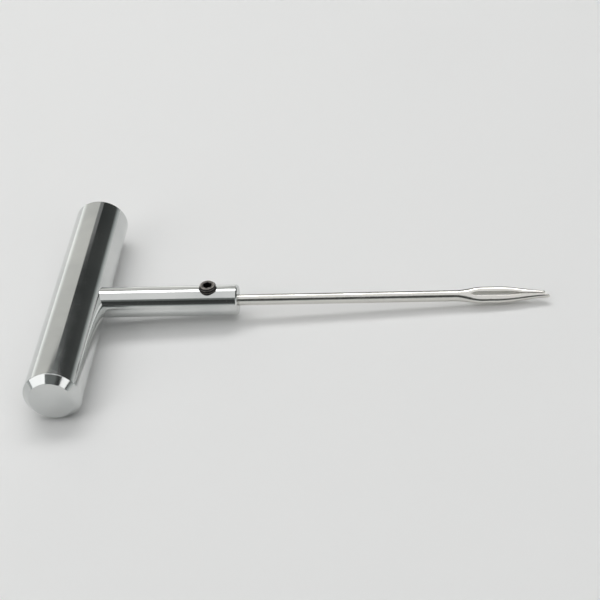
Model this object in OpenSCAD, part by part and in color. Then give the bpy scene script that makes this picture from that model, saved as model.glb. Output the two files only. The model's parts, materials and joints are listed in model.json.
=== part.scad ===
// Tyre plug insertion tool: a T handle that clamps a split-eye needle.
// It lies on a flat surface on its grip bar, with the needle pointing along +X,
// the grip bar along Y and the set screw on top. The origin is on that surface,
// under the middle of the tool's outline.

/* [Grip bar] */
// Diameter of the grip bar
bar_d = 20; // [18:0.5:24]
// Length of the grip bar
bar_len = 104; // [90:1:130]
// Size of the 45 degree chamfer on each end of the bar
bar_chamfer = 2.4; // [1:0.1:3]

/* [Stem] */
// Diameter of the stem
stem_d = 11; // [10.5:0.5:13]
// Distance from the bar's axis to the stem's mouth
stem_reach = 58; // [50:1:70]
// How far the stem's pressed end passes the bar's axis
stem_pass = 3; // [0:0.5:5]
// Size of the chamfer around the stem's mouth
mouth_chamfer = 0.5; // [0.2:0.1:1]
// Depth of the needle bore from the mouth
bore_depth = 25; // [20:1:35]
// Radial clearance of the needle in its bore
bore_clearance = 0.05; // [0.02:0.01:0.1]

/* [Set screw] */
// Thread diameter of the set screw
screw_d = 6; // [5:0.5:6]
// Length of the set screw
screw_len = 5; // [4.5:0.5:6]
// Distance from the stem's mouth to the screw's axis
screw_from_mouth = 10.5; // [8:0.5:14]
// Width across the flats of the screw's hexagon socket
socket_af = 3; // [2.5:0.5:3]
// Depth of the hexagon socket
socket_depth = 2.2; // [1.5:0.1:2.5]
// Radial clearance of the screw in its hole, which stands for the thread
thread_clearance = 0.03; // [0.02:0.01:0.08]

/* [Needle] */
// Diameter of the needle's rod
needle_d = 4; // [3:0.1:4.5]
// Length of needle that stands out of the stem
needle_out = 110; // [80:1:140]
// Length of the split-eye end, from the last of the round rod to the tip
eye_len = 33; // [30:1:40]
// Width across the two strands of the eye
eye_w = 6.2; // [5:0.1:7]
// Thickness of the strands, square to that width
eye_thick = 2.8; // [2:0.1:3]
// Width of the long slot between the strands
slot_w = 1.3; // [0.8:0.1:1.6]
// How much shorter the far strand's end is than the near one's
tine_step = 1.5; // [0:0.1:3]
// Turn of the flat of the eye about the needle's axis, in degrees
eye_turn = 25; // [0:5:90]

/* [Travel] */
// How far the needle draws out along its bore
needle_travel = 24; // [10:1:24]

/* [Hidden] */

$fn = 96;
chrome = [0.66, 0.67, 0.665];
nickel = [0.74, 0.73, 0.70];
black_oxide = [0.13, 0.13, 0.14];

bar_r = bar_d / 2;
stem_r = stem_d / 2;
screw_r = screw_d / 2;
needle_r = needle_d / 2;
bore_r = needle_r + bore_clearance;
bore_end = stem_reach - bore_depth;
bore_countersink = 0.3;
drill_point = bore_r * tan(31);

// Set screw: its cup point stops just short of the needle
point_gap = 0.05;
screw_x = stem_reach - screw_from_mouth;
screw_z = needle_r + point_gap;
screw_chamfer = 0.5;
point_r = screw_r * 0.62;
point_taper = 0.8;
cup_r = screw_r * 0.45;
cup_depth = 0.5;
socket_rim_r = socket_af / 2 + 0.45;
socket_point = 0.7;
socket_point_top_r = socket_af * 0.42;

// Needle: places along it are counted back from the tip
tip_x = stem_reach + needle_out;
shank_gap = 0.5;
shank_x = bore_end + shank_gap;
shank_chamfer = 0.4;
shoulder_len = 9.5;
taper_len = 18;
tip_half = 1.25;
tip_thick = 2.0;
tip_round = 0.7;
slot_start = 27;
slot_end = 8;
slit_w = 0.35;
mouth_w = 0.9;
mouth_len = 2.5;
flat_lead = 0.3;
flat_stagger = 1.3;
steps = 10;
cut = 1;

// The tool lies on its bar, tipped down so that the eye just clears the
// surface when the needle is drawn out to the end of its travel
rest_gap = 0.1;
eye_low = eye_w / 2 * sin(eye_turn) + eye_thick / 2 * cos(eye_turn);
lie_angle = asin((bar_r - eye_low - rest_gap) / (tip_x - taper_len + needle_travel));
tip_over = tip_half * sin(lie_angle);
mid_x = (tip_x * cos(lie_angle) + tip_over - bar_r) / 2;

function smooth(u) = u <= 0 ? 0 : u >= 1 ? 1 : u * u * (3 - 2 * u);
function mix(a, b, u) = a + (b - a) * u;

// Radius of the spindle that the eye is flattened from, a distance s back from the tip
function spindle_r(s) =
    s > taper_len
        ? mix(eye_w / 2, needle_r, smooth((s - (eye_len - shoulder_len)) / shoulder_len))
        : mix(tip_half, eye_w / 2, smooth(s / taper_len));

module in_place() {
    translate([-mid_x, 0, bar_r])
        rotate([0, lie_angle, 0])
            children();
}

// Everything turned on the stem's axis is drawn standing on its end at x
module along_x(x = 0) {
    translate([x, 0, 0])
        rotate([0, 90, 0])
            children();
}

module grip_bar() {
    end = bar_len / 2;
    color(chrome)
        in_place()
            difference() {
                rotate([90, 0, 0])
                    rotate_extrude()
                        polygon([
                            [0, -end],
                            [bar_r - bar_chamfer, -end],
                            [bar_r, -end + bar_chamfer],
                            [bar_r, end - bar_chamfer],
                            [bar_r - bar_chamfer, end],
                            [0, end]
                        ]);
                along_x(-stem_pass)
                    cylinder(r = stem_r, h = bar_d);
            }
}

module stem() {
    color(chrome)
        in_place()
            difference() {
                along_x()
                    rotate_extrude()
                        polygon([
                            [0, -stem_pass],
                            [stem_r, -stem_pass],
                            [stem_r, stem_reach - mouth_chamfer],
                            [stem_r - mouth_chamfer, stem_reach],
                            [0, stem_reach]
                        ]);
                along_x()
                    rotate_extrude()
                        polygon([
                            [0, bore_end - drill_point],
                            [bore_r, bore_end],
                            [bore_r, stem_reach - bore_countersink],
                            [bore_r + bore_countersink, stem_reach],
                            [bore_r + bore_countersink, stem_reach + cut],
                            [0, stem_reach + cut]
                        ]);
                translate([screw_x, 0, 0])
                    cylinder(r = screw_r + thread_clearance, h = stem_d);
            }
}

module set_screw() {
    color(black_oxide)
        in_place()
            translate([screw_x, 0, screw_z])
                difference() {
                    rotate_extrude()
                        polygon([
                            [0, cup_depth],
                            [cup_r, 0],
                            [point_r, 0],
                            [screw_r, point_taper],
                            [screw_r, screw_len - screw_chamfer],
                            [screw_r - screw_chamfer, screw_len],
                            [0, screw_len]
                        ]);
                    translate([0, 0, screw_len - socket_depth])
                        cylinder(d = socket_af / cos(30), h = socket_depth + cut, $fn = 6);
                    translate([0, 0, screw_len - socket_depth - socket_point])
                        cylinder(r1 = 0, r2 = socket_point_top_r, h = socket_point);
                }
}

// The rod and the spindle at its end, in one turned piece
module needle_blank() {
    along_x()
        rotate_extrude()
            polygon(concat(
                [[0, shank_x]],
                [[needle_r - shank_chamfer, shank_x]],
                [[needle_r, shank_x + shank_chamfer]],
                [for (i = [0:steps])
                    let (s = mix(eye_len, eye_len - shoulder_len, i / steps))
                        [spindle_r(s), tip_x - s]],
                [for (i = [0:steps])
                    let (s = mix(taper_len, tip_round, i / steps))
                        [spindle_r(s), tip_x - s]],
                [[tip_half - tip_round / 2, tip_x]],
                [[0, tip_x]]
            ));
}

// What is pressed away above the eye, with the tip at the origin
module above_eye() {
    rotate([90, 0, 0])
        linear_extrude(height = 4 * eye_w, center = true)
            polygon([
                [-eye_len, needle_r + flat_lead],
                [-eye_len + shoulder_len - flat_stagger, eye_thick / 2],
                [-taper_len + flat_stagger, eye_thick / 2],
                [cut, tip_thick / 2],
                [cut, 2 * eye_w],
                [-eye_len, 2 * eye_w]
            ]);
}

// The long slot with round ends, the slit beyond it, the splayed mouth and the far strand's step
module eye_slot() {
    slot_r = slot_w / 2;
    linear_extrude(height = 2 * eye_w, center = true) {
        translate([-slot_start, -slot_r])
            square([slot_start - slot_end, slot_w]);
        for (s = [slot_start, slot_end])
            translate([-s, 0])
                circle(r = slot_r);
        translate([-slot_end, -slit_w / 2])
            square([slot_end + cut, slit_w]);
        polygon([
            [-mouth_len, slit_w / 2],
            [cut, mouth_w / 2],
            [cut, -mouth_w / 2],
            [-mouth_len, -slit_w / 2]
        ]);
        translate([-tine_step, 0])
            square([tine_step + cut, eye_w]);
    }
}

module needle() {
    color(nickel)
        in_place()
            difference() {
                needle_blank();
                translate([tip_x, 0, 0])
                    rotate([eye_turn, 0, 0]) {
                        above_eye();
                        mirror([0, 0, 1])
                            above_eye();
                        eye_slot();
                    }
            }
}

grip_bar();
stem();
set_screw();
needle();
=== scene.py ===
import json
import math

import bmesh
import bpy
from mathutils import Matrix, Vector


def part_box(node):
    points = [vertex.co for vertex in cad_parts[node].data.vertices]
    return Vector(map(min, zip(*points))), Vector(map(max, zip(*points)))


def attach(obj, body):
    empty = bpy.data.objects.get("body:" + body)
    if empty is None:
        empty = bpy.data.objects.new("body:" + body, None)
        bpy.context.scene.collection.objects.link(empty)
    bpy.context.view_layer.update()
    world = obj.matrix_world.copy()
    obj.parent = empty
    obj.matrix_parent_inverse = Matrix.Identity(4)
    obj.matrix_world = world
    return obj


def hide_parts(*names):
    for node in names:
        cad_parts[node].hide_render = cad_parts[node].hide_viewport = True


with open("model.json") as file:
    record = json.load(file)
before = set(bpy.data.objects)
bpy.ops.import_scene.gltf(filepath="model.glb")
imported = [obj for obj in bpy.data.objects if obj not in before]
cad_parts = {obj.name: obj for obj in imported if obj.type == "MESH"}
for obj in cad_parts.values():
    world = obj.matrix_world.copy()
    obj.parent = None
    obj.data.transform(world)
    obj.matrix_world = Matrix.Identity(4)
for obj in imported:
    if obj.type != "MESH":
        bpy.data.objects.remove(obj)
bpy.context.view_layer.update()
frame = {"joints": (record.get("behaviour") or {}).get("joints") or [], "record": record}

# ---- Camera ----
# The tool is seen from the side of its near bar end and from 38 degrees above the table, with the
# needle running across to the right. The camera stands half a metre off, with a longer lens to
# let the tool fill the view.
camera_place = Vector((0.0589, -0.3877, 0.3146))
camera_lens = 84
camera_side = Vector((0.9980, -0.0048, -0.0625))
aim = Vector((0.001, 0.0, 0.006))
looking = (aim - camera_place).normalized()
camera_up = camera_side.cross(looking).normalized()
camera_side = looking.cross(camera_up)
camera_data = bpy.data.cameras.new("camera")
camera_data.lens = camera_lens
camera_data.sensor_width = 36
camera_data.clip_start = 0.01
camera_data.clip_end = 20
camera = bpy.data.objects.new("camera", camera_data)
camera.matrix_world = Matrix((camera_side, camera_up, -looking)).transposed().to_4x4()
camera.location = camera_place
bpy.context.scene.collection.objects.link(camera)
bpy.context.scene.camera = camera

# ---- Grip bar ----
# A solid steel bar turned to a smooth 20 mm, with a broad 45 degree chamfer on each end and a
# cross socket half way along that the stem is pressed into. It is polished and chrome plated.
bar_low, bar_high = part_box("grip_bar")
bar_middle = (Vector(bar_low) + Vector(bar_high)) / 2
bar_r = (bar_high[2] - bar_low[2]) / 2
bar_half = (bar_high[1] - bar_low[1]) / 2
bar_chamfer = 0.0024
bar_edge = 0.00022
stem_socket_r = 0.00551
stem_socket_floor = -0.003
cutter_end = 0.02
cutter_edge = 0.0001

# The tool lies on this bar with the needle tipped a little down. Every piece is made in the tool's
# own axes, x along the needle, y along the grip bar and z through the set screw, with the middle
# of the bar at zero, and is then laid down with the tool.
travels = {joint["name"]: Vector(joint["axis"]).normalized() for joint in frame["joints"]}
along_needle = travels["needle_draw"]
through_screw = travels["set_screw_travel"]
along_bar = through_screw.cross(along_needle)
laid_down = Matrix((along_needle, along_bar, through_screw)).transposed().to_4x4()
laid_down.translation = bar_middle


def eased(corners):
    """Points and outward normals of a turned outline, each of whose corners is (along, out, its rounding)."""
    arc_steps = 6
    longest = 0.004
    points, normals = [], []

    def run_to(point, normal):
        """Goes straight on to a point, in steps no longer than longest."""
        start = points[-1]
        pieces = max(1, math.ceil((point - start).length / longest))
        for step in range(1, pieces + 1):
            points.append(start.lerp(point, step / pieces))
            normals.append(normal)

    for i, (along, out, ease) in enumerate(corners):
        here = Vector((along, out))
        if i == 0:
            after = (Vector(corners[1][:2]) - here).normalized()
            points.append(here)
            normals.append(Vector((-after.y, after.x)))
            continue
        before = (here - Vector(corners[i - 1][:2])).normalized()
        square = Vector((-before.y, before.x))
        if i == len(corners) - 1:
            run_to(here, square)
            continue
        after = (Vector(corners[i + 1][:2]) - here).normalized()
        turn = math.atan2(before.x * after.y - before.y * after.x, before.dot(after))
        start = here - before * ease * abs(math.tan(turn / 2))
        run_to(start, square)
        centre = start + square * math.copysign(ease, turn)
        for step in range(1, arc_steps + 1):
            swing = Matrix.Rotation(turn * step / arc_steps, 2)
            points.append(centre + swing @ (start - centre))
            normals.append(swing @ square)
    return points, normals


def turned(name, outline, about, sides=224):
    """A piece turned on a lathe about x or y, closed at both ends, with its true surface normals."""
    def placed(along, out, turn):
        """A point or normal of the outline, swung round by an angle."""
        swung = (out * math.cos(turn), out * math.sin(turn))
        return (along, *swung) if about == "x" else (swung[1], along, swung[0])

    corners, normals, rings = [], [], []
    for point, normal in zip(*outline):
        centred = abs(point.y) < 1e-7
        turns = [0.0] if centred else [2 * math.pi * k / sides for k in range(sides)]
        rings.append(range(len(corners), len(corners) + len(turns)))
        corners += [placed(point.x, 0.0 if centred else point.y, turn) for turn in turns]
        normals += [placed(normal.x, 0.0 if centred else normal.y, turn) for turn in turns]
    faces = []
    for one, two in zip(rings, rings[1:]):
        for k in range(sides):
            nxt = (k + 1) % sides
            if len(one) == 1 and len(two) > 1:
                faces.append((one[0], two[nxt], two[k]))
            elif len(two) == 1 and len(one) > 1:
                faces.append((one[k], one[nxt], two[0]))
            elif len(one) > 1:
                faces.append((one[k], one[nxt], two[nxt], two[k]))
    mesh = bpy.data.meshes.new(name)
    mesh.from_pydata(corners, [], faces)
    mesh.validate()
    mesh.shade_smooth()
    mesh.normals_split_custom_set_from_vertices(normals)
    piece = bpy.data.objects.new(name, mesh)
    bpy.context.scene.collection.objects.link(piece)
    return piece


def true_normal(outline, about, place):
    """The turned surface's normal nearest to a place on it."""
    along, one, two = place if about == "x" else (place[1], place[2], place[0])
    here = Vector((along, math.hypot(one, two)))
    points, normals = outline
    nearest, best = math.inf, None
    for start, end, first, last in zip(points, points[1:], normals, normals[1:]):
        side = end - start
        share = 0 if side.length_squared == 0 else (here - start).dot(side) / side.length_squared
        share = min(1, max(0, share))
        gap = (here - start.lerp(end, share)).length_squared
        if gap < nearest:
            nearest, best = gap, first.lerp(last, share)
    best = best.normalized()
    out = best.y / max(here.y, 1e-9)
    if about == "x":
        return Vector((best.x, out * one, out * two))
    return Vector((out * two, best.x, out * one))


def cut_out(piece, cutter, outline, about):
    """Cuts a hole in a turned piece, keeps the true normals of its turned faces and drops the cutter."""
    modifier = piece.modifiers.new("hole", "BOOLEAN")
    modifier.operation = "DIFFERENCE"
    modifier.solver = "EXACT"
    modifier.object = cutter
    depsgraph = bpy.context.evaluated_depsgraph_get()
    mesh = bpy.data.meshes.new_from_object(piece.evaluated_get(depsgraph))
    piece.modifiers.clear()
    whole = piece.data
    piece.data = mesh
    bpy.data.meshes.remove(whole)
    bpy.data.objects.remove(cutter)
    same_way = 0.9
    at_corner = [true_normal(outline, about, corner.co) for corner in mesh.vertices]
    normals = [None] * len(mesh.loops)
    for face in mesh.polygons:
        turned_face = face.normal.dot(true_normal(outline, about, face.center)) > same_way
        for loop in face.loop_indices:
            here = at_corner[mesh.loops[loop].vertex_index]
            normals[loop] = here if turned_face else face.normal.copy()
    mesh.shade_smooth()
    mesh.normals_split_custom_set(normals)


bar_outline = eased([
    (-bar_half, 0, 0),
    (-bar_half, bar_r - bar_chamfer, bar_edge),
    (-bar_half + bar_chamfer, bar_r, bar_edge),
    (bar_half - bar_chamfer, bar_r, bar_edge),
    (bar_half, bar_r - bar_chamfer, bar_edge),
    (bar_half, 0, 0),
])
grip = turned("polished_grip_bar", bar_outline, "y")
stem_socket = turned("stem_socket", eased([
    (stem_socket_floor, 0, 0),
    (stem_socket_floor, stem_socket_r, cutter_edge),
    (cutter_end, stem_socket_r, cutter_edge),
    (cutter_end, 0, 0),
]), "x", 160)
cut_out(grip, stem_socket, bar_outline, "y")
grip.data.transform(laid_down)


def new_finish(name):
    """A material, its node tree and its shader."""
    material = bpy.data.materials.new(name)
    material.use_nodes = True
    tree = material.node_tree
    return material, tree, tree.nodes["Principled BSDF"]


def added(tree, kind, links=(), **values):
    """A node, with settings given in small letters, sockets with a capital, and (socket, source) links."""
    node = tree.nodes.new(kind)
    for name, value in values.items():
        if name[0].islower():
            setattr(node, name, value)
    for name, value in values.items():
        if name[0].isupper():
            node.inputs[name].default_value = value
    for socket, source in links:
        tree.links.new(source, node.inputs[socket])
    return node


def own_place(tree, shares=(1, 1, 1), origin=bar_middle):
    """A place on the tool in its own axes, in millimetres. Unequal shares of them draw noise into lines."""
    place = tree.nodes.new("ShaderNodeTexCoord")
    return added(tree, "ShaderNodeMapping", [("Vector", place.outputs["Object"])], vector_type="TEXTURE",
                 Location=origin, Rotation=laid_down.to_euler(),
                 Scale=[0.001 / share for share in shares]).outputs["Vector"]


def distance_out(tree, axis=None, origin=bar_middle):
    """Millimetres from a point, or from a line through it along one of the tool's axes."""
    shares = [1e-6 if name == axis else 1 for name in "XYZ"]
    return added(tree, "ShaderNodeVectorMath", [(0, own_place(tree, shares, origin))],
                 operation="LENGTH").outputs["Value"]


def noise(tree, shares, grains, detail=3.0, roughness=0.5):
    """Noise with that many grains to the millimetre, drawn out by the shares."""
    return added(tree, "ShaderNodeTexNoise", [("Vector", own_place(tree, shares))],
                 Scale=grains, Detail=detail, Roughness=roughness).outputs["Fac"]


def ranged(tree, source, low, high, to_low, to_high):
    """A value taken from one range to another, and kept inside the second."""
    node = added(tree, "ShaderNodeMapRange", [("Value", source)])
    for socket, value in zip(("From Min", "From Max", "To Min", "To Max"), (low, high, to_low, to_high)):
        node.inputs[socket].default_value = value
    return node.outputs["Result"]


def combined(tree, operation, *sources):
    """Several values added together or multiplied."""
    result = sources[0]
    for source in sources[1:]:
        node = added(tree, "ShaderNodeMath", [(0, result), (1, source)], operation=operation)
        result = node.outputs["Value"]
    return result


def toned(tree, source, low, low_colour, high, high_colour):
    """A colour that goes from one to the other as a value goes from low to high."""
    tones = added(tree, "ShaderNodeValToRGB", [("Fac", source)])
    for stop, position, colour in zip(tones.color_ramp.elements, (low, high), (low_colour, high_colour)):
        stop.position = position
        stop.color = (*colour, 1)
    return tones.outputs["Color"]


def bumped(tree, shader, height, depth):
    """Raises the shader's surface by height, at most depth in metres."""
    bump = added(tree, "ShaderNodeBump", [("Height", height)], Strength=1.0, Distance=depth)
    tree.links.new(bump.outputs["Normal"], shader.inputs["Normal"])


def chrome_finish(name, lay, axis, end):
    """Bright chrome over turned and polished steel. lay is how closely the polishing lines are set along
    each axis. Past end, in millimetres along the turned axis, a face keeps the rings of its facing cut."""
    material, tree, shader = new_finish(name)
    metal = toned(tree, noise(tree, (1, 1, 1), 0.05), 0.35, (0.62, 0.635, 0.63), 0.65, (0.70, 0.71, 0.70))
    tree.links.new(metal, shader.inputs["Base Color"])
    shader.inputs["Metallic"].default_value = 1.0

    # Facing rings, which also draw a highlight out across the end
    place = added(tree, "ShaderNodeSeparateXYZ", [("Vector", own_place(tree))])
    from_middle = added(tree, "ShaderNodeMath", [(0, place.outputs[axis])], operation="ABSOLUTE")
    on_face = ranged(tree, from_middle.outputs["Value"], end - 0.12, end - 0.05, 0.0, 1.0)
    rings = added(tree, "ShaderNodeTexNoise", [("W", distance_out(tree, axis))], noise_dimensions="1D",
                  Scale=5.0, Detail=2.0)
    ring_depth = combined(tree, "MULTIPLY", on_face, ranged(tree, rings.outputs["Fac"], 0.0, 1.0, 0.0, 0.12))
    tree.links.new(ranged(tree, on_face, 0.0, 1.0, 0.0, 0.75), shader.inputs["Anisotropic"])
    turning = added(tree, "ShaderNodeTangent", direction_type="RADIAL", axis=axis)
    tree.links.new(turning.outputs["Tangent"], shader.inputs["Tangent"])

    # Smudges, haze, polishing lines and small pits under the plating
    smudges = ranged(tree, noise(tree, (1, 1, 1), 0.06), 0.4, 0.7, 0.0, 0.035)
    haze = ranged(tree, noise(tree, (1, 1, 1), 0.6), 0.35, 0.75, 0.0, 0.02)
    lines = noise(tree, lay, 1.0, 2)
    line_haze = ranged(tree, lines, 0.3, 0.7, 0.06, 0.095)
    pit = added(tree, "ShaderNodeTexVoronoi", [("Vector", own_place(tree))], Scale=0.16)
    pits = ranged(tree, pit.outputs["Distance"], 0.008, 0.022, 0.4, 0.0)
    face_haze = ranged(tree, on_face, 0.0, 1.0, 0.0, 0.14)
    rough = combined(tree, "ADD", smudges, haze, line_haze, face_haze, pits)
    tree.links.new(rough, shader.inputs["Roughness"])
    ripple = ranged(tree, noise(tree, (1, 1, 1), 0.13, 1), 0.0, 1.0, 0.0, 0.45)
    fine = ranged(tree, lines, 0.0, 1.0, 0.0, 0.006)
    bumped(tree, shader, combined(tree, "ADD", ripple, fine, ring_depth), 0.00002)
    return material


chrome_bar = chrome_finish("chrome_on_bar", (0.15, 6.0, 0.15), "Y", bar_half * 1000)
grip.data.materials.clear()
grip.data.materials.append(chrome_bar)
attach(grip, "handle")
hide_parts("grip_bar")

# ---- Stem ----
# A turned steel spigot pressed into the bar's socket and plated with it. Its mouth is chamfered
# and bored for the needle, and a tapped hole in its top takes the set screw.
mounts = {mount["name"]: mount for mount in frame["record"]["mounts"]}


def from_bar(mount):
    """How far a mount is from the bar's middle, measured along the needle."""
    return (Vector(mounts[mount]["pos_m"]) - bar_middle).dot(along_needle)


stem_r = 0.0055
stem_inner_end = -0.0029
stem_edge = 0.00012
screw_x = from_bar("screw_socket")
screw_to_mouth = 0.0105
mouth_x = screw_x + screw_to_mouth
mouth_chamfer = 0.0005
bore_r = 0.00205
bore_depth = 0.025
bore_end_x = mouth_x - bore_depth
bore_countersink = 0.0003
tapped_r = 0.00306
tapped_countersink = 0.0002
tapped_rise = 0.0006

stem_outline = eased([
    (stem_inner_end, 0, 0),
    (stem_inner_end, stem_r, stem_edge),
    (mouth_x - mouth_chamfer, stem_r, stem_edge),
    (mouth_x, stem_r - mouth_chamfer, stem_edge),
    (mouth_x, bore_r + bore_countersink, stem_edge / 2),
    (mouth_x - bore_countersink, bore_r, stem_edge / 2),
    (bore_end_x, bore_r, stem_edge),
    (bore_end_x, 0, 0),
])
spigot = turned("stem_with_needle_bore", stem_outline, "x")
tapped_hole = turned("tapped_hole", eased([
    (0.0, 0, 0),
    (0.0, tapped_r, cutter_edge),
    (stem_r - tapped_countersink, tapped_r, cutter_edge),
    (stem_r + tapped_rise, tapped_r + tapped_countersink + tapped_rise, cutter_edge),
    (stem_r + tapped_rise, 0, 0),
]), "x", 96)
tapped_hole.data.transform(Matrix.Translation((screw_x, 0, 0)) @ Matrix.Rotation(-math.pi / 2, 4, "Y"))
cut_out(spigot, tapped_hole, stem_outline, "x")
spigot.data.transform(laid_down)
chrome_stem = chrome_finish("chrome_on_stem", (6.0, 0.15, 0.15), "X", mouth_x * 1000)
spigot.data.materials.clear()
spigot.data.materials.append(chrome_stem)
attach(spigot, "handle")
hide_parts("stem")

# ---- Set screw ----
# A black-oxide M6 socket screw with no head. The thread is rolled, both ends are chamfered, the
# lower one to a cup point, and the hexagon socket is broached to a drilled bottom.
screw_length = 0.005
screw_r = 0.003
screw_chamfer = 0.0005
thread_pitch = 0.001
thread_depth = 0.00055
crest_share = 0.16
flank_share = 0.62
point_r = 0.00186
point_taper = 0.0008
cup_r = 0.00135
cup_depth = 0.0005
hexagon_half = 0.0015
hexagon_break = 0.00014
hexagon_deep = 0.0022
hexagon_floor = screw_length - hexagon_deep
drill_r = hexagon_half * 0.86
drill_point = 0.0007
screw_sides = 96
screw_rings = 84


def thread_radius(up, turn):
    """Radius of the threaded side at a height and an angle, cut back by the chamfers at both ends."""
    phase = (up / thread_pitch - turn / (2 * math.pi)) % 1
    from_crest = abs(phase - 0.5) * 2
    sunk = min(1, max(0, (from_crest - crest_share) / flank_share))
    top_limit = screw_r - screw_chamfer + (screw_length - up)
    point_limit = point_r + (screw_r - point_r) * up / point_taper
    return min(screw_r - thread_depth * sunk, top_limit, point_limit)


def hexagon_radius(turn):
    """Radius of the hexagon socket's wall at an angle."""
    return hexagon_half / math.cos((turn + math.pi / 6) % (math.pi / 3) - math.pi / 6)


def screw_section(turn):
    """The screw's half section at an angle, from the edge of the cup round to the socket's bottom."""
    wall = hexagon_radius(turn)
    heights = [screw_length * k / screw_rings for k in range(screw_rings + 1)]
    section = [(cup_r, 0.0)]
    section += [(thread_radius(up, turn), up) for up in heights]
    section += [(wall + hexagon_break, screw_length), (wall, screw_length - hexagon_break)]
    section += [(wall, hexagon_floor), (drill_r, hexagon_floor)]
    return section


screw_corners = [(0, 0, cup_depth), (0, 0, hexagon_floor - drill_point)]
screw_faces = []
section_length = len(screw_section(0))
for k in range(screw_sides):
    turn = 2 * math.pi * k / screw_sides
    screw_corners += [(r * math.cos(turn), r * math.sin(turn), up) for r, up in screw_section(turn)]
for k in range(screw_sides):
    here = 2 + k * section_length
    there = 2 + (k + 1) % screw_sides * section_length
    screw_faces.append((0, there, here))
    for j in range(section_length - 1):
        screw_faces.append((here + j, there + j, there + j + 1, here + j + 1))
    screw_faces.append((here + section_length - 1, there + section_length - 1, 1))
screw_mesh = bpy.data.meshes.new("socket_set_screw")
screw_mesh.from_pydata(screw_corners, [], screw_faces)
screw_mesh.validate()
screw_mesh.shade_smooth()
screw_mesh.set_sharp_from_angle(angle=math.radians(32))
grub = bpy.data.objects.new("socket_set_screw", screw_mesh)
bpy.context.scene.collection.objects.link(grub)
screw_bottom = Vector(mounts["screw_socket"]["pos_m"]) - through_screw * screw_length
screw_mesh.transform(Matrix.Translation(screw_bottom) @ laid_down.to_3x3().to_4x4())


def colour_socket(sockets, name):
    """A mixing node has sockets of the same name for numbers and vectors. This is the one for colours."""
    return next(socket for socket in sockets if socket.name == name and socket.type == "RGBA")


# The oxide is patchy. It is rubbed bright on the top, most at its outer edge, and on the thread's crests.
black_oxide, tree, shader = new_finish("black_oxide")
oxide_patch = noise(tree, (1, 1, 1), 1.3, 4, 0.6)
oxide_tone = toned(tree, oxide_patch, 0.3, (0.014, 0.014, 0.016), 0.75, (0.055, 0.052, 0.05))
screw_place = added(tree, "ShaderNodeSeparateXYZ", [("Vector", own_place(tree, origin=screw_bottom))])
screw_out = distance_out(tree, "Z", screw_bottom)
top, top_edge, crest = screw_length * 1000, (screw_r - screw_chamfer) * 1000, screw_r * 1000
rubbed_top = ranged(tree, screw_place.outputs["Z"], top - 0.3, top - 0.07, 0.0, 0.45)
more_at_edge = ranged(tree, screw_out, top_edge - 0.3, top_edge - 0.05, 0.7, 2.0)
rubbed_crest = ranged(tree, screw_out, crest - 0.12, crest - 0.02, 0.0, 0.3)
rubbed = combined(tree, "ADD", combined(tree, "MULTIPLY", rubbed_top, more_at_edge), rubbed_crest)
rubbed = combined(tree, "MULTIPLY", rubbed, ranged(tree, oxide_patch, 0.25, 0.65, 0.45, 1.0))
worn = added(tree, "ShaderNodeMix", [("Factor", rubbed)], data_type="RGBA")
tree.links.new(oxide_tone, colour_socket(worn.inputs, "A"))
colour_socket(worn.inputs, "B").default_value = (0.50, 0.46, 0.42, 1)
tree.links.new(colour_socket(worn.outputs, "Result"), shader.inputs["Base Color"])
shader.inputs["Metallic"].default_value = 0.75
tree.links.new(ranged(tree, oxide_patch, 0.3, 0.7, 0.30, 0.48), shader.inputs["Roughness"])
bumped(tree, shader, noise(tree, (1, 1, 1), 9.0), 0.000012)
screw_mesh.materials.append(black_oxide)
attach(grub, "set_screw")
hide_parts("set_screw")

# ---- Needle ----
# A 4 mm steel rod, drawn and nickel plated. Its end is pressed flat and slit lengthwise, and the
# two strands are spread into a long narrow eye that is open at the tip through a fine slit.
needle_r = 0.002
tip_to_eye_middle = 0.0175
tip_x = from_bar("eye_slot") + tip_to_eye_middle
shank_gap = 0.0005
shank_x = bore_end_x + shank_gap
shank_chamfer = 0.0004

# These are counted back from the tip, or are half of a width or a thickness
eye_length = 0.033
eye_shoulder = 0.0235
eye_taper = 0.018
eye_half = 0.00308
eye_thick_half = 0.00142
tip_half = 0.00124
tip_thick_half = 0.00098
tip_round = 0.0009
tine_step = 0.0015
slot_point = 0.0276
slot_start = 0.0245
slot_narrow_from = 0.0145
slot_half = 0.00066
slit_from = 0.0085
slit_half = 0.00014
splay_from = 0.003
splay_half = 0.0004
even_from = 0.0025

# A section is round at a squareness of 2, and fuller the more it has been pressed. Its inner rims are
# eased by no more than a share of the gap, and a strand's end stays blunt by a share of its section.
rod_square, eye_square, tip_square = 2.0, 2.7, 2.4
rim = 0.00022
rim_share = 0.6
blunt_share = 0.25
arc_points = 28
wall_points = 8
rim_points = 3
slot_normal = Vector(mounts["eye_slot"]["axis"])
eye_turn = math.atan2(-slot_normal.dot(along_bar), slot_normal.dot(through_screw))


def smooth(share):
    """A share that starts and stops gently, and stays between 0 and 1."""
    share = min(1, max(0, share))
    return share * share * (3 - 2 * share)


def along_eye(back, rod, eye, tip):
    """A measure that goes from the rod's, over the shoulder to the eye's, and down to the tip's."""
    if back > eye_taper:
        return eye + (rod - eye) * smooth((back - eye_shoulder) / (eye_length - eye_shoulder))
    return tip + (eye - tip) * smooth(back / eye_taper)


def half_gap(back):
    """Half the width of the slot at a distance back from the tip."""
    if back >= slot_start:
        opening = (back - slot_start) / (slot_point - slot_start)
        return slot_half * max(0, 1 - opening ** 2)
    if back > slit_from:
        narrowing = smooth((back - slit_from) / (slot_narrow_from - slit_from))
        return slit_half + (slot_half - slit_half) * narrowing
    return slit_half + (splay_half - slit_half) * smooth(1 - back / splay_from)


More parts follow.
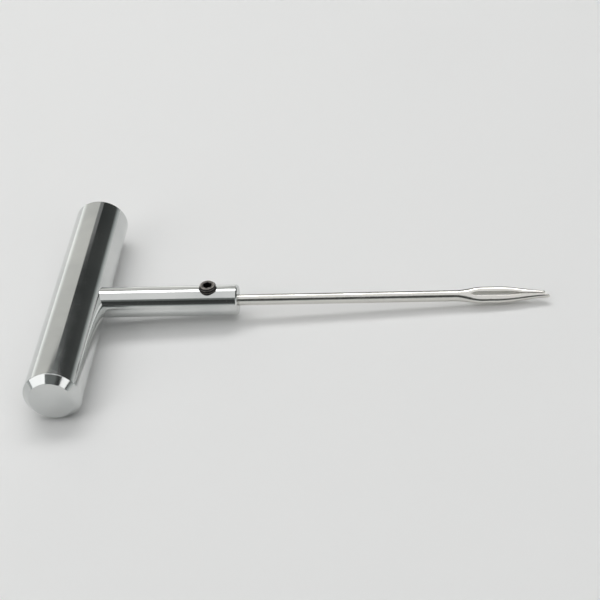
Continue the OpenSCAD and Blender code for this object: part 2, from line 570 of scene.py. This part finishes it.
def strand(back, side, end=0.0):
    """The closed section of one strand, whose own end is at end, as points round it from the top."""
    gap = half_gap(back)
    wide = along_eye(back, needle_r, eye_half, tip_half)
    thick = along_eye(back, needle_r, eye_thick_half, tip_thick_half)
    power = 2 / along_eye(back, rod_square, eye_square, tip_square)
    ease = min(rim, gap * rim_share)
    points = []
    for k in range(arc_points + 1):
        turn = math.pi / 2 - math.pi * k / arc_points
        out = abs(math.cos(turn)) ** power if 0 < k < arc_points else 0
        up = math.copysign(abs(math.sin(turn)) ** power, math.sin(turn)) if k * 2 != arc_points else 0
        points.append((gap + ease + (wide - gap - ease) * out, thick * up))
    for k in range(1, rim_points + 1):
        turn = math.pi / 2 * k / rim_points
        points.append((gap + ease * (1 - math.sin(turn)), -thick + ease * (1 - math.cos(turn))))
    for k in range(1, wall_points):
        points.append((gap, (-thick + ease) * (1 - 2 * k / wall_points)))
    for k in range(rim_points, 0, -1):
        turn = math.pi / 2 * k / rim_points
        points.append((gap + ease * (1 - math.sin(turn)), thick - ease * (1 - math.cos(turn))))
    if back - end < tip_round:
        left = 1 - (back - end) / tip_round
        shrink = max(blunt_share, math.sqrt(1 - left * left))
        middle = (gap + wide) / 2
        points = [(middle + (across - middle) * shrink, up * shrink) for across, up in points]
    return [(side * across, up) for across, up in points]


def rod_section(back):
    """The closed section of the whole rod, from the outer sides of its two strands."""
    right = strand(back, 1)[:arc_points + 1]
    left = strand(back, -1)[:arc_points + 1]
    return right + left[-2:0:-1]


def spaced(start, end, pieces):
    """Places that divide a stretch evenly, with both its ends."""
    return [start + (end - start) * k / pieces for k in range(pieces + 1)]


# Distances back from the tip at which the needle has a ring of points
nose_backs = [0, 0.00005, 0.00015, 0.0003, 0.0005, 0.0007, tip_round]
open_backs = spaced(even_from, slot_start, 60)
point_pieces = 14
point_backs = [slot_start + (slot_point - slot_start) * math.sin(math.pi / 2 * k / point_pieces)
               for k in range(1, point_pieces + 1)]
shank_back = tip_x - shank_x - shank_chamfer
solid_backs = spaced(slot_point, eye_length, 16) + spaced(eye_length, shank_back, 24)[1:]

needle_corners, needle_faces = [], []


def add_ring(x, ring):
    """Puts a ring of points round the needle at x, turned to the flat of the eye. Returns their numbers."""
    first = len(needle_corners)
    swing = (math.cos(eye_turn), math.sin(eye_turn))
    for across, up in ring:
        needle_corners.append((x, across * swing[0] - up * swing[1], across * swing[1] + up * swing[0]))
    return list(range(first, first + len(ring)))


def add_skins(rings):
    """Puts faces between each ring and the next."""
    for one, two in zip(rings, rings[1:]):
        for k in range(len(one)):
            nxt = (k + 1) % len(one)
            needle_faces.append((one[k], one[nxt], two[nxt], two[k]))


for side, end in ((1, tine_step), (-1, 0.0)):
    backs = [end + back for back in nose_backs] + open_backs + point_backs
    strand_rings = [add_ring(tip_x - back, strand(back, side, end)) for back in backs]
    needle_faces.append(tuple(strand_rings[0]))
    add_skins(strand_rings)
rod_rings = [add_ring(tip_x - back, rod_section(back)) for back in solid_backs]
shank_shrink = (needle_r - shank_chamfer) / needle_r
rod_rings.append(add_ring(shank_x, [(across * shank_shrink, up * shank_shrink)
                                    for across, up in rod_section(shank_back)]))
add_skins(rod_rings)
needle_faces.append(tuple(reversed(rod_rings[-1])))

# The strands' inner walls come together where the slot ends, and are welded there
needle_mesh = bpy.data.meshes.new("split_eye_needle")
needle_mesh.from_pydata(needle_corners, [], needle_faces)
weld = bmesh.new()
weld.from_mesh(needle_mesh)
bmesh.ops.remove_doubles(weld, verts=weld.verts, dist=2e-7)
bmesh.ops.dissolve_degenerate(weld, dist=1e-7, edges=weld.edges)
bmesh.ops.recalc_face_normals(weld, faces=weld.faces)
weld.to_mesh(needle_mesh)
weld.free()
needle_mesh.shade_smooth()
needle_mesh.set_sharp_from_angle(angle=math.radians(50))
needle = bpy.data.objects.new("split_eye_needle", needle_mesh)
bpy.context.scene.collection.objects.link(needle)
needle_mesh.transform(laid_down)

# Drawing leaves fine lines along the rod, and pressing leaves it a little uneven
nickel, tree, shader = new_finish("drawn_nickel")
shader.inputs["Base Color"].default_value = (0.74, 0.725, 0.69, 1)
shader.inputs["Metallic"].default_value = 1.0
drawn = noise(tree, (0.12, 7.0, 7.0), 1.0)
patches = ranged(tree, noise(tree, (1, 1, 1), 0.35, 4, 0.6), 0.4, 0.7, 0.0, 0.08)
drawn_haze = ranged(tree, drawn, 0.3, 0.7, 0.11, 0.2)
tree.links.new(combined(tree, "ADD", drawn_haze, patches), shader.inputs["Roughness"])
pressed = noise(tree, (0.6, 1, 1), 1.1, 2)
bumped(tree, shader, combined(tree, "ADD", pressed, ranged(tree, drawn, 0.0, 1.0, 0.0, 0.25)), 0.00002)
needle_mesh.materials.append(nickel)
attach(needle, "needle")
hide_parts("needle")

# ---- Floor and studio ----
# A pale matt table under large soft lights, with a darker room behind them for the chrome to show.
# Far from the tool, where the lights don't reach, the table glows a little to stay as pale.
floor_half = 12.0
floor_mesh = bpy.data.meshes.new("pale_floor")
floor_mesh.from_pydata([(-floor_half, -floor_half, 0), (floor_half, -floor_half, 0),
                        (floor_half, floor_half, 0), (-floor_half, floor_half, 0)], [], [(0, 1, 2, 3)])
floor = bpy.data.objects.new("pale_floor", floor_mesh)
bpy.context.scene.collection.objects.link(floor)
floor_paint, tree, shader = new_finish("pale_floor_paint")
shader.inputs["Base Color"].default_value = (0.88, 0.88, 0.875, 1)
shader.inputs["Emission Color"].default_value = (1, 1, 0.99, 1)
far_glow = ranged(tree, distance_out(tree), 900, 2600, 0.0, 0.55)
tree.links.new(far_glow, shader.inputs["Emission Strength"])
tree.links.new(ranged(tree, noise(tree, (1, 1, 1), 0.02, 4), 0.3, 0.7, 0.55, 0.7), shader.inputs["Roughness"])
floor_mesh.materials.append(floor_paint)


def softbox(name, place, size, glow, towards, tint=(1, 1, 1), lean=0):
    """A rectangular light of an even glow that faces a point, leaning by an angle about that line."""
    light = bpy.data.lights.new(name, "AREA")
    light.shape = "RECTANGLE"
    light.size, light.size_y = size
    light.energy = glow * math.pi * size[0] * size[1]
    light.color = tint
    lamp = bpy.data.objects.new(name, light)
    facing = (Vector(place) - Vector(towards)).to_track_quat("Z", "Y").to_matrix().to_4x4()
    lamp.matrix_world = Matrix.Translation(place) @ facing @ Matrix.Rotation(math.radians(lean), 4, "Z")
    lamp.visible_camera = False
    bpy.context.scene.collection.objects.link(lamp)


softbox("overhead_softbox", (0.05, 0.1, 1.4), (3.2, 2.1), 0.66, (0.05, 0.1, 0))
softbox("back_key", (-0.1, 0.72, 1.22), (1.5, 0.45), 2.8, (0, 0, 0))
softbox("left_back_card", (-0.98, 1.2, 0.55), (1.6, 1.2), 0.6, (-0.98, 0, 0.55), (1.0, 0.99, 0.945))
softbox("dim_card", (-0.13, 1.35, 0.42), (0.26, 1.3), 0.2, (-0.13, 0, 0.42), lean=7)
softbox("left_front_card", (-1.1, -0.75, 0.75), (1.0, 1.1), 1.3, (0, 0, 0))
softbox("right_front_card", (0.95, -0.8, 0.66), (0.8, 0.6), 1.2, (0, 0, 0))

# The room goes from pale at the horizon to dark, and to grey overhead
world = bpy.data.worlds.new("studio")
bpy.context.scene.world = world
world.use_nodes = True
tree = world.node_tree
sky = tree.nodes["Background"]
direction = tree.nodes.new("ShaderNodeTexCoord")
height = added(tree, "ShaderNodeSeparateXYZ", [("Vector", direction.outputs["Generated"])])
shade = added(tree, "ShaderNodeValToRGB", [("Fac", height.outputs["Z"])])
ramp = shade.color_ramp
ramp.elements[0].position = 0.0
ramp.elements[0].color = (0.66, 0.66, 0.66, 1)
ramp.elements[1].position = 0.95
ramp.elements[1].color = (0.16, 0.16, 0.16, 1)
for position, tone in ((0.08, 0.5), (0.22, 0.07), (0.655, 0.04), (0.70, 0.18), (0.8, 0.18)):
    stop = ramp.elements.new(position)
    stop.color = (tone * 0.94, tone, tone * 0.98, 1)
tree.links.new(shade.outputs["Color"], sky.inputs["Color"])
sky.inputs["Strength"].default_value = 1.0

bpy.context.scene.view_settings.view_transform = "Standard"
